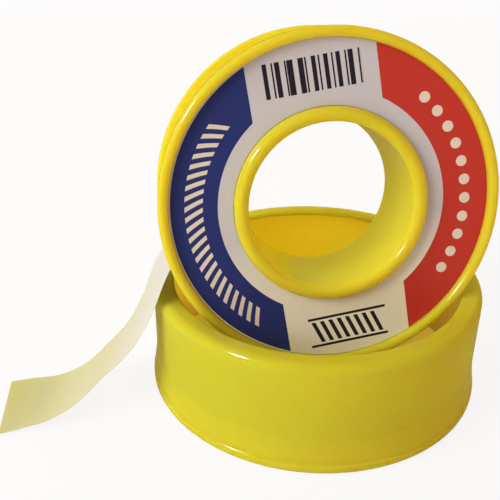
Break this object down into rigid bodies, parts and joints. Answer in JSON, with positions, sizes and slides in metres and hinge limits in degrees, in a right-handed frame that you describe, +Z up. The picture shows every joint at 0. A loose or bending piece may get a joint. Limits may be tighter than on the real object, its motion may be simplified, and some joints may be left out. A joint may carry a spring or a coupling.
{
  "type": "thread seal tape roll",
  "caption": "Flanged spool of thread seal tape with a round face label and a loose tape end, standing tilted in the round mouth of its own cover ring.",
  "frame": {"origin": "middle of the cover ring's foot, on the surface that the object stands on", "axes": "+Z up along the cover ring's axis, -Y towards the side that the spool's label faces, +X to the right seen from there"},
  "size_m": [0.0759, 0.0536, 0.0576],
  "materials": {
    "yellow_plastic": "moulded, glossy",
    "printed_paper": "smooth coated paper",
    "tape": "soft, slightly see-through film"
  },
  "bodies": {
    "cover": {"cover_ring": "yellow_plastic"},
    "tape_end": {"tape_tail": "tape"},
    "spool": {"spool": "yellow_plastic", "face_label": "printed_paper", "tape_roll": "tape"}
  },
  "joints": [
    {"name": "lift_off", "type": "slide", "parent": "cover", "child": "tape_end", "axis": [0, 0, 1], "range_m": [0, 0.04]},
    {"name": "spool_turn", "type": "hinge", "parent": "tape_end", "child": "spool", "pos_m": [0, 0.00045, 0.03152], "axis": [0.2188, -0.9555, 0.1977], "continuous": true}
  ]
}
